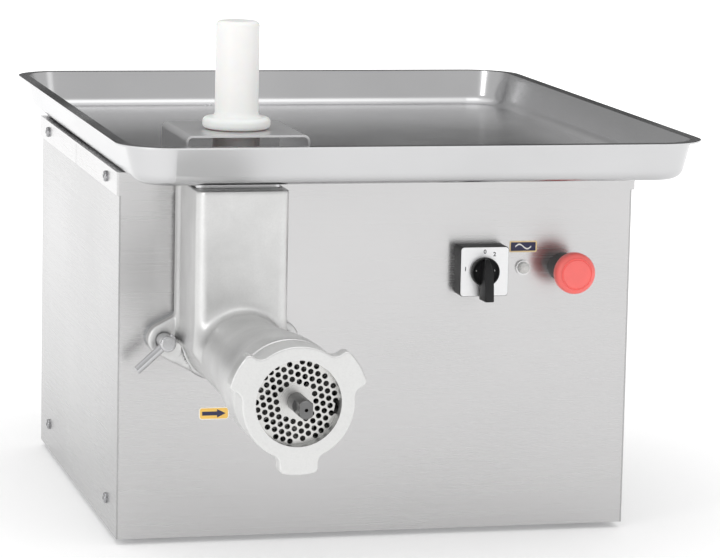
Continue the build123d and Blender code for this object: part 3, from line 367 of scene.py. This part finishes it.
def clear_cap(name):
    """Clear lamp cap over a pale reflector."""
    look = Look(name, (0.93, 0.93, 0.91), 0.0, 0.12, Transmission_Weight=0.18, IOR=1.49, Coat_Weight=0.5)
    look.roughness(look.spread(look.noise((300, 300, 300), 2), 0.08, 0.2))
    return look.material


head_axis = middle("mincing_plate")
motor_axis = middle("motor_rotor")
stop_axis = middle("estop_button")
MATERIALS = {
    "brushed_stainless": brushed("brushed_stainless", (0.57, 0.565, 0.566), 0.25),
    "tray_stainless": pressed("tray_stainless", (0.57, 0.57, 0.575), 0.22),
    "polished_stainless": polished("polished_stainless", (0.60, 0.60, 0.61)),
    "sheet_steel": brushed("sheet_steel", (0.5, 0.5, 0.51), 0.38, "Y"),
    "screw_steel": polished("screw_steel", (0.54, 0.54, 0.55), 0.12),
    "foot_rubber": moulded("foot_rubber", (0.025, 0.025, 0.026), 0.7, 0.3),
    "seal_rubber": moulded("seal_rubber", (0.05, 0.03, 0.02), 0.6, 0.2),
    "black_polymer": moulded("black_polymer", (0.006, 0.006, 0.0065), 0.45, 0.14, Specular_IOR_Level=0.35),
    "grey_polymer": moulded("grey_polymer", (0.33, 0.34, 0.36), 0.5, 0.14),
    "gearbox_casting": cast("gearbox_casting", (0.52, 0.53, 0.54), 0.5, 0.14, 0.35),
    "machined_steel": turned("machined_steel", (0.47, 0.46, 0.45), tuple(head_axis), "Y", 0.3),
    "gear_steel": turned("gear_steel", (0.34, 0.34, 0.35), tuple(motor_axis), "Y", 0.34),
    "bearing_steel": polished("bearing_steel", (0.66, 0.66, 0.67), 0.12),
    "motor_paint": enamel("motor_paint", (0.07, 0.12, 0.17)),
    "stator_iron": brushed("stator_iron", (0.25, 0.23, 0.22), 0.5, "Z"),
    "cast_satin": cast("cast_satin", (0.67, 0.67, 0.665), 0.40),
    "nut_satin": cast("nut_satin", (0.70, 0.70, 0.693), 0.45, 0.03, 0.10),
    "plate_steel": turned("plate_steel", (0.62, 0.615, 0.60), tuple(head_axis), "Y", 0.3, 900),
    "washer_polymer": moulded("washer_polymer", (0.75, 0.73, 0.66), 0.5),
    "white_polymer": moulded("white_polymer", (0.84, 0.84, 0.825), 0.36, 0.05, 0.012, Subsurface_Weight=0.15),
    "switch_silver": brushed("switch_silver", (0.88, 0.88, 0.885), 0.42, "X", 0.4),
    "lamp_metal": polished("lamp_metal", (0.62, 0.62, 0.62), 0.2),
    "lamp_clear": clear_cap("lamp_clear"),
    "red_polymer": moulded("red_polymer", (0.93, 0.16, 0.145), 0.38, 0.06, 0.03, Subsurface_Weight=0.08),
    "sticker_film": moulded("sticker_film", (0.020, 0.022, 0.075), 0.45, 0.05),
}
# nodes whose look differs from that of their slot
SPECIAL = {
    "knife": turned("tool_steel", (0.10, 0.10, 0.10), tuple(head_axis), "Y", 0.4, 700),
    "feed_guard": pressed("guard_sheet", (0.66, 0.66, 0.665), 0.36),
    "panel_screws": polished("dark_screws", (0.40, 0.40, 0.41), 0.16),
    "auger_stud": turned("stud_steel", (0.17, 0.17, 0.17), tuple(head_axis), "Y", 0.32, 800),
}
# painted shade: the side panels get a darker copy of the cabinet's brushed stainless
SPECIAL["left_panel"] = SPECIAL["right_panel"] = brushed("side_stainless_shaded", (0.44, 0.437, 0.438), 0.27, "Y")
for part in frame["record"]["subparts"]:
    for slot in frame["nodes"][part["node"]].material_slots:
        slot.material = SPECIAL.get(part["node"], MATERIALS[part["material_slot"]])


# ---- grinding head: the CAD casting with soft cast blends between its masses ----
BARREL_R_BACK, BARREL_R_WAIST, BARREL_R_FRONT = 38.5 * MM, 39.8 * MM, 49.7 * MM
FLARE_BACK, FLARE_FRONT = 186.0 * MM, 41.0 * MM      # behind the casting's front end
NECK_HALF, NECK_CORNER = (43.5 * MM, 50.0 * MM), 10.0 * MM
PAD_HALF, PAD_CORNER = (46.5 * MM, 8.0 * MM), 5.0 * MM
NOSE_L = 24.0 * MM
FLANGE_T = 14.0 * MM
CAST_VOXEL = 1.6 * MM
NECK_BLEND, FLANGE_BLEND, PAD_BLEND = 13.0 * MM, 5.0 * MM, 5 * MM
FLANGE_BLEND_R = 42.5 * MM      # the flange is blended in within this radius
SKIN_BAND = 1.6 * MM            # points this near the outer skin are moved
SKIN_R_MIN, SKIN_R_MAX = 35.5 * MM, 50.8 * MM
EDGE_CLEAR = 2 * MM             # left as it is beside the nose and under the top face
FIT_ROUNDS, SLOPE_STEP, MOVE_LIMIT, SLOPE_MIN = 6, 0.2 * MM, 4 * MM, 0.3


def remeshed(node, voxel):
    """A copy of a CAD node's mesh, rebuilt from even small faces."""
    copy = bpy.data.objects.new("remesh_copy", frame["nodes"][node].data.copy())
    bpy.context.scene.collection.objects.link(copy)
    rebuild = copy.modifiers.new("voxels", "REMESH")
    rebuild.mode = "VOXEL"
    rebuild.voxel_size = voxel
    mesh = bpy.data.meshes.new_from_object(copy.evaluated_get(bpy.context.evaluated_depsgraph_get()))
    mesh.materials.clear()
    bpy.data.objects.remove(copy)
    return mesh


def rounded_box_distance(x, y, half, corner):
    dx, dy = np.abs(x) - half[0] + corner, np.abs(y) - half[1] + corner
    outside = np.hypot(np.maximum(dx, 0), np.maximum(dy, 0))
    return outside + np.minimum(np.maximum(dx, dy), 0) - corner


def soft_union(a, b, reach):
    h = np.maximum(reach - np.abs(a - b), 0) / reach
    return np.minimum(a, b) - h * h * reach / 4


def barrel_radius(behind, flange_behind):
    """A slight taper, then a trumpet flare, as distances behind the casting's front end."""
    taper = np.clip((behind - FLARE_BACK) / (flange_behind - FLARE_BACK), 0, 1)
    share = np.clip((FLARE_BACK - behind) / (FLARE_BACK - FLARE_FRONT), 0, 1)
    flare = (BARREL_R_FRONT - BARREL_R_WAIST) * share * share * (3 - 2 * share)
    return BARREL_R_WAIST + (BARREL_R_BACK - BARREL_R_WAIST) * taper + flare


def head_masses(points):
    """Distances to the barrel, the neck with its rear pad, and the flange's front plane."""
    low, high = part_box("grinder_head")
    x, y, z = points[:, 0] - head_axis.x, points[:, 1], points[:, 2] - head_axis.z
    flange_front = high.y - FLANGE_T
    barrel = np.hypot(x, z) - barrel_radius(y - low.y, flange_front - low.y)
    neck_y = high.y - NECK_HALF[1]
    neck = rounded_box_distance(x, y - neck_y, NECK_HALF, NECK_CORNER)
    pad = rounded_box_distance(x, y - (high.y - PAD_HALF[1]), PAD_HALF, PAD_CORNER)
    neck = np.maximum(soft_union(neck, pad, PAD_BLEND), -z)
    return barrel, neck, flange_front - y


def head_surface(points):
    barrel, neck, flange = head_masses(points)
    joined = soft_union(barrel, neck, NECK_BLEND)
    near_flange = np.hypot(points[:, 0] - head_axis.x, points[:, 2] - head_axis.z) < FLANGE_BLEND_R
    return np.where(near_flange, soft_union(joined, flange, FLANGE_BLEND), joined)


def make_cast_head():
    mesh = remeshed("grinder_head", CAST_VOXEL)
    count = len(mesh.vertices)
    points = np.empty(count * 3)
    mesh.vertices.foreach_get("co", points)
    points = points.reshape(-1, 3)
    low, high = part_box("grinder_head")
    barrel, neck, flange = head_masses(points)
    skin = np.minimum(np.minimum(barrel, neck), flange)
    reach = np.hypot(points[:, 0] - head_axis.x, points[:, 2] - head_axis.z)
    outer = (np.abs(skin) < SKIN_BAND) & (points[:, 2] < high.z - EDGE_CLEAR)
    outer &= (points[:, 1] > low.y + NOSE_L + EDGE_CLEAR) & (points[:, 1] < high.y - FLANGE_T + 1.0 * MM)
    outer &= (reach > SKIN_R_MIN) & ((reach < SKIN_R_MAX) | (neck < EDGE_CLEAR))
    moving = points[outer]
    for _ in range(FIT_ROUNDS):
        value = head_surface(moving)
        shifted = [head_surface(moving + SLOPE_STEP * axis) - value for axis in np.eye(3)]
        slope = np.stack(shifted, 1) / SLOPE_STEP
        length = np.maximum(np.linalg.norm(slope, axis=1, keepdims=True), SLOPE_MIN)
        moving = moving - np.clip(value, -MOVE_LIMIT, MOVE_LIMIT)[:, None] * slope / length ** 2
    points[outer] = moving
    mesh.vertices.foreach_set("co", points.ravel())
    piece = shown("cast_head", mesh, "cabinet", MATERIALS["cast_satin"])
    soften = piece.modifiers.new("soften", "SMOOTH")
    soften.factor = 0.5
    soften.iterations = 3
    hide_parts("grinder_head")


make_cast_head()


# ---- pusher: turned in one piece, with a soft flare from the handle to the disc ----
def make_pusher():
    low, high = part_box("pusher")
    handle_r, disc_r, stem_r = 20.3 * MM, (high.x - low.x) / 2, 22.0 * MM
    disc_low = low.z + 118.0 * MM
    disc_high = disc_low + 11.0 * MM
    flare, rim, crown = 5.0 * MM, 4.2 * MM, 4.5 * MM
    profile = [(0, low.z)]
    profile += arc(stem_r - 3 * MM, low.z + 3 * MM, 3 * MM, -90, 0)
    profile += [(stem_r, disc_low - 1 * MM), (stem_r + 0.6 * MM, disc_low)]
    profile += arc(disc_r - rim, disc_low + rim, rim, -90, 0)
    profile += arc(disc_r - rim, disc_high - rim, rim, 0, 90)
    profile += arc(handle_r + flare, disc_high + flare, flare, 270, 180)
    profile += [(handle_r, (disc_high + high.z) / 2)]
    profile += arc(handle_r - crown, high.z - crown, crown, 0, 90, 8)
    profile += [(0, high.z)]
    centre = middle("pusher")
    mesh = lathe("pusher_body", profile, (centre.x, centre.y, 0), (0, 0, 1), 128)
    piece = shown("pusher_body", mesh, "pusher", MATERIALS["white_polymer"])
    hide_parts("pusher")


make_pusher()


# ---- emergency stop head ----
def make_stop_head():
    low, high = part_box("estop_button")
    radius = (high.x - low.x) / 2
    depth = high.y - low.y
    disc_r = radius * 0.72
    profile = [(7.1 * MM, 0), (radius - 4 * MM, 0)]
    profile += arc(radius - 3 * MM, 3 * MM, 3 * MM, -90, 0)
    profile += arc(radius - 6 * MM, depth - 7.6 * MM, 6 * MM, 0, 72, 8)
    profile += [(disc_r + 0.9 * MM, depth - 0.9 * MM), (disc_r + 0.3 * MM, depth - 1.5 * MM),
                (disc_r - 0.3 * MM, depth - 1.5 * MM), (disc_r - 0.9 * MM, depth - 0.6 * MM)]
    profile += [(disc_r * 0.6, depth - 0.2 * MM), (disc_r * 0.25, depth), (0, depth)]
    bore = [(0, depth - 11 * MM), (7.1 * MM, depth - 11 * MM)]
    mesh = lathe("stop_head", bore + profile, (stop_axis.x, high.y, stop_axis.z), (0, -1, 0), 96)
    piece = shown("stop_head", mesh, "estop_button", MATERIALS["red_polymer"])
    auto_smooth(piece, 40)
    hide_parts("estop_button")


make_stop_head()


# ---- power lamp ----
def make_lamp():
    low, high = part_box("lamp_lens")
    centre = middle("lamp_lens")
    radius = (high.x - low.x) / 2
    profile = [(0, 0), (3.9 * MM, 0), (3.9 * MM, 11.1 * MM), (radius, 11.1 * MM), (radius, 12.6 * MM)]
    for ring in range(4):
        r = radius - (0.5 + ring * 1.25) * MM
        h = 15 * MM - 0.28 * MM * (3 - ring)
        profile += [(r, h - 0.7 * MM * (ring == 0)), (r - 0.45 * MM, h), (r - 0.9 * MM, h - 0.45 * MM)]
    profile += [(0, 15 * MM - 0.35 * MM)]
    mesh = lathe("lamp_cap", profile, (centre.x, high.y, centre.z), (0, -1, 0), 48)
    piece = shown("lamp_cap", mesh, "cabinet", MATERIALS["lamp_clear"])
    auto_smooth(piece, 30)
    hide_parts("lamp_lens")


make_lamp()


# ---- switch: dial numbers and a pointer knob ----
INK = moulded("dial_ink", (0.03, 0.03, 0.032), 0.5, 0.05)
WHITE_DOT = moulded("white_print", (0.85, 0.85, 0.83), 0.5, 0.05)
CREAM = moulded("cream_print", (0.86, 0.66, 0.36), 0.5, 0.04)
AMBER = moulded("amber_print", (0.93, 0.58, 0.13), 0.5, 0.04)
PALE = moulded("pale_print", (0.90, 0.86, 0.78), 0.5, 0.02)
DIAL_NUMBERS = (("1", 172), ("0", 90), ("2", 60))


def print_text(name, text, size, x, y, z, body, material, lift):
    curve = bpy.data.curves.new(name, "FONT")
    curve.body = text
    curve.size = size
    curve.align_x = "CENTER"
    curve.align_y = "CENTER"
    curve.extrude = lift / 2
    curve.offset = size * 0.02
    holder = bpy.data.objects.new(name + "_curve", curve)
    bpy.context.scene.collection.objects.link(holder)
    mesh = bpy.data.meshes.new_from_object(holder.evaluated_get(bpy.context.evaluated_depsgraph_get()))
    bpy.data.objects.remove(holder)
    mesh.transform(Matrix.Translation((x, y - lift / 2, z)) @ Matrix.Rotation(math.pi / 2, 4, "X"))
    mesh.materials.clear()
    return shown(name, mesh, body, material, smooth=False)


def make_dial():
    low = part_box("switch_face")[0]
    centre = middle("switch_face")
    reach = 19.2 * MM
    for text, degrees in DIAL_NUMBERS:
        a = math.radians(degrees)
        print_text("dial_number_" + text, text, 5.6 * MM, centre.x + reach * math.cos(a), low.y,
                   centre.z + reach * math.sin(a), "cabinet", INK, 0.15 * MM)


def make_knob():
    """Round base with a dished face and a tapering pointer lever that stands out more at its tail."""
    centre = middle("switch_face")
    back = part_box("switch_face")[0].y - 0.3 * MM
    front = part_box("switch_knob")[0].y
    radius, base_t = 14.0 * MM, 4.0 * MM
    profile = [(0, 0), (radius, 0), (radius, base_t)]
    profile += arc(radius - 1.2 * MM, base_t, 1.2 * MM, 0, 90, 4)
    profile += [(radius - 3 * MM, base_t - 0.2 * MM), (radius - 5 * MM, base_t - 1.2 * MM),
                (0, base_t - 1.5 * MM)]
    base = lathe("knob_base", profile, (centre.x, back, centre.z), (0, -1, 0), 64)
    disc = shown("knob_base", base, "switch_knob", MATERIALS["black_polymer"])
    auto_smooth(disc, 35)
    # along the lever: height above the axis and half width in mm, and share of the full reach
    stations = ((13.6, 1.6, 0.42), (8.0, 4.0, 0.62), (0.0, 5.4, 0.80), (-12.0, 5.5, 0.93), (-26.6, 5.5, 1.0))
    build = bmesh.new()
    rows = []
    root = back - 2 * MM
    reach = root - front
    top_share = 0.78
    for up, half, share in stations:
        top = root - reach * share
        corners = ((-1, root, 1.0), (-1, top, top_share), (1, top, top_share), (1, root, 1.0))
        z = centre.z + up * MM
        rows.append([build.verts.new((centre.x + sx * half * MM * scale, y, z))
                     for sx, y, scale in corners])
    for first, second in zip(rows, rows[1:]):
        for i in range(4):
            j = (i + 1) % 4
            build.faces.new([first[i], first[j], second[j], second[i]])
    build.faces.new(list(reversed(rows[0])))
    build.faces.new(rows[-1])
    bmesh.ops.recalc_face_normals(build, faces=build.faces)
    mesh = bpy.data.meshes.new("knob_lever")
    build.to_mesh(mesh)
    build.free()
    lever = shown("knob_lever", mesh, "switch_knob", MATERIALS["black_polymer"])
    bevel(lever, 0.9 * MM)
    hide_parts("switch_knob")
    for side in (-1, 1):
        dot = lathe("knob_dot", [(0, 0), (0.9 * MM, 0), (0.9 * MM, 0.25 * MM), (0, 0.3 * MM)],
                    (centre.x + side * 9.6 * MM, back - base_t + 1.2 * MM, centre.z + 1.5 * MM), (0, -1, 0), 20)
        shown("knob_dot_" + ("left" if side < 0 else "right"), dot, "switch_knob", WHITE_DOT)


make_dial()
make_knob()


# ---- printed stickers ----
def make_stickers():
    low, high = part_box("panel_stickers")
    lamp = middle("lamp_bezel")
    sheet_y = high.y
    border_t, field_t, print_t = 0.25 * MM, 0.32 * MM, 0.39 * MM
    width, height = 27.5 * MM, 11.0 * MM
    x, z = lamp.x, high.z - height / 2
    border = plate_mesh("power_border", rounded_rectangle(x, z, width, height, 1.2 * MM),
                        sheet_y - border_t, sheet_y)
    piece = shown("power_border", border, "cabinet", CREAM, smooth=False)
    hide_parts("panel_stickers")
    field = plate_mesh("power_field", rounded_rectangle(x, z, width - 2.6 * MM, height - 2.6 * MM, 0.5 * MM),
                       sheet_y - field_t, sheet_y - border_t / 2)
    shown("power_field", field, "cabinet", MATERIALS["sticker_film"], smooth=False)
    wave = []
    half_w, rise, thick = 8.0 * MM, 2.2 * MM, 0.75 * MM
    steps = 24
    for side in (1, -1):
        for i in range(steps + 1):
            t = i / steps if side > 0 else 1 - i / steps
            wave.append((x - half_w + 2 * half_w * t, z + rise * math.sin(2 * math.pi * t) + side * thick))
    shown("power_wave", plate_mesh("power_wave", wave, sheet_y - print_t, sheet_y - border_t / 2),
          "cabinet", WHITE_DOT, smooth=False)

    x0, z0 = low.x, low.z
    width, height = 29.0 * MM, 12.0 * MM
    cx, cz = x0 + width / 2, z0 + height / 2
    patch = plate_mesh("turn_patch", rounded_rectangle(cx, cz, width, height, 3 * MM),
                       sheet_y - border_t, sheet_y)
    shown("turn_patch", patch, "cabinet", PALE, smooth=False)
    inner = rounded_rectangle(cx, cz, width - 1.8 * MM, height - 1.8 * MM, 2.2 * MM)
    shown("turn_field", plate_mesh("turn_field", inner, sheet_y - field_t, sheet_y - border_t / 2),
          "cabinet", AMBER, smooth=False)
    tail, neck, tip = -11.5 * MM, 3.0 * MM, 11.5 * MM
    shaft, barb = 1.9 * MM, 4.1 * MM
    arrow = [(cx + tail, cz - shaft), (cx + neck, cz - shaft), (cx + neck, cz - barb), (cx + tip, cz),
             (cx + neck, cz + barb), (cx + neck, cz + shaft), (cx + tail, cz + shaft)]
    shown("turn_arrow", plate_mesh("turn_arrow", arrow, sheet_y - print_t, sheet_y - border_t / 2),
          "cabinet", MATERIALS["sticker_film"], smooth=False)


make_stickers()


# ---- floor, world, lights ----
def make_studio():
    size = 30.0
    mesh = bpy.data.meshes.new("studio_floor")
    corners = [(-size, -size, 0), (size, -size, 0), (size, size, 0), (-size, size, 0)]
    mesh.from_pydata(corners, [], [(0, 1, 2, 3)])
    floor = bpy.data.objects.new("studio_floor", mesh)
    bpy.context.scene.collection.objects.link(floor)
    pale = Look("pale_floor_painted_glow", (0.93, 0.93, 0.93), 0.0, 0.9)
    pale.color(pale.blend(pale.noise((0.4, 0.4, 0.4), 2), (0.92, 0.92, 0.92), (0.94, 0.94, 0.94)))
    # painted light: the floor glows, dimmer by the machine and brighter further out
    pale.shader.inputs["Emission Color"].default_value = (1, 1, 1, 1)
    reach = pale.node("ShaderNodeVectorMath", operation="LENGTH")
    pale.link(pale.place, reach.inputs[0])
    pale.link(pale.spread(reach.outputs["Value"], PAINTED_GLOW_NEAR, PAINTED_GLOW_FAR, 0.5, 2.2),
              pale.shader.inputs["Emission Strength"])
    mesh.materials.append(pale.material)

    world = bpy.data.worlds.new("studio")
    bpy.context.scene.world = world
    world.use_nodes = True
    tree = world.node_tree
    place = tree.nodes.new("ShaderNodeTexCoord")
    split = tree.nodes.new("ShaderNodeSeparateXYZ")
    tree.links.new(place.outputs["Generated"], split.inputs["Vector"])
    shares = []
    for axis, start, end, low, high in (("Y", 0.2, 0.9, 0.0, 1.0), ("Z", 0.15, 0.5, 1.0, 0.0),
                                        ("X", -0.35, 0.15, 0.5, 1.0), ("Z", 0.55, 0.95, 0.0, 1.0)):
        ramp = tree.nodes.new("ShaderNodeMapRange")
        ramp.interpolation_type = "SMOOTHSTEP"
        for socket, value in (("From Min", start), ("From Max", end), ("To Min", low), ("To Max", high)):
            ramp.inputs[socket].default_value = value
        tree.links.new(split.outputs[axis], ramp.inputs["Value"])
        shares.append(ramp.outputs["Result"])

    def combined(operation, *values):
        made = tree.nodes.new("ShaderNodeMath")
        made.operation = operation
        for socket, value in zip(made.inputs, values):
            if isinstance(value, float):
                socket.default_value = value
            else:
                tree.links.new(value, socket)
        return made.outputs["Value"]

    dark = combined("MULTIPLY", combined("MULTIPLY", shares[0], shares[1]), shares[2])
    shaded = combined("MULTIPLY_ADD", dark, WORLD_BACK - WORLD_BRIGHT, WORLD_BRIGHT)
    total = combined("MULTIPLY_ADD", shares[3], WORLD_ZENITH, shaded)
    background = tree.nodes["Background"]
    tree.links.new(total, background.inputs["Strength"])
    background.inputs["Color"].default_value = (1, 1, 1, 1)


def softbox(name, place, aim, width, height, power):
    light = bpy.data.lights.new(name, "AREA")
    light.shape = "RECTANGLE"
    light.size = width
    light.size_y = height
    light.energy = power
    lamp = bpy.data.objects.new(name, light)
    lamp.location = place
    lamp.rotation_euler = (Vector(aim) - Vector(place)).to_track_quat("-Z", "Y").to_euler()
    bpy.context.scene.collection.objects.link(lamp)


# sky strength overall, low behind the object, and added overhead
WORLD_BRIGHT, WORLD_BACK, WORLD_ZENITH = 0.74, 0.03, 0.5
# painted light: glow of the floor, dimmer by the machine and brighter further out, standing in for the shade by
# the machine and lightening its shadows
PAINTED_GLOW_NEAR, PAINTED_GLOW_FAR = 0.20, 0.48
# watts of the three softboxes
KEY_POWER, FILL_POWER, TOP_POWER = 17, 3, 8
make_studio()
softbox("key_left", (-2.7, -2.2, 1.3), (-0.15, -0.4, 0.2), 0.7, 1.7, KEY_POWER)
softbox("fill_right", (2.6, -2.4, 1.6), (0, 0, 0.2), 1.2, 1.2, FILL_POWER)
softbox("top", (0, -0.6, 3.4), (0, 0, 0), 2.0, 2.0, TOP_POWER)
bpy.context.scene.view_settings.view_transform = "Standard"


# ---- camera at the photograph's viewpoint ----
CAMERA_PLACE = (-0.8087, -3.4414, 0.7721)
CAMERA_YAW, CAMERA_PITCH, CAMERA_ROLL = 13.873, 8.939, 1.179
FOCAL_LENGTH = 174.1
SENSOR_WIDTH = 36.0


def make_camera():
    yaw, pitch, roll = (math.radians(v) for v in (CAMERA_YAW, CAMERA_PITCH, CAMERA_ROLL))
    ahead = Vector((math.sin(yaw) * math.cos(pitch), math.cos(yaw) * math.cos(pitch), -math.sin(pitch)))
    right = Vector((math.cos(yaw), -math.sin(yaw), 0))
    up = right.cross(ahead)
    turned_right = math.cos(roll) * right + math.sin(roll) * up
    turned_up = math.cos(roll) * up - math.sin(roll) * right
    camera = bpy.data.objects.new("camera", bpy.data.cameras.new("camera"))
    camera.data.sensor_width = SENSOR_WIDTH
    camera.data.lens = FOCAL_LENGTH
    camera.data.clip_end = 100
    basis = Matrix((turned_right, turned_up, -ahead)).transposed().to_4x4()
    camera.matrix_world = Matrix.Translation(CAMERA_PLACE) @ basis
    bpy.context.scene.collection.objects.link(camera)
    bpy.context.scene.camera = camera


make_camera()
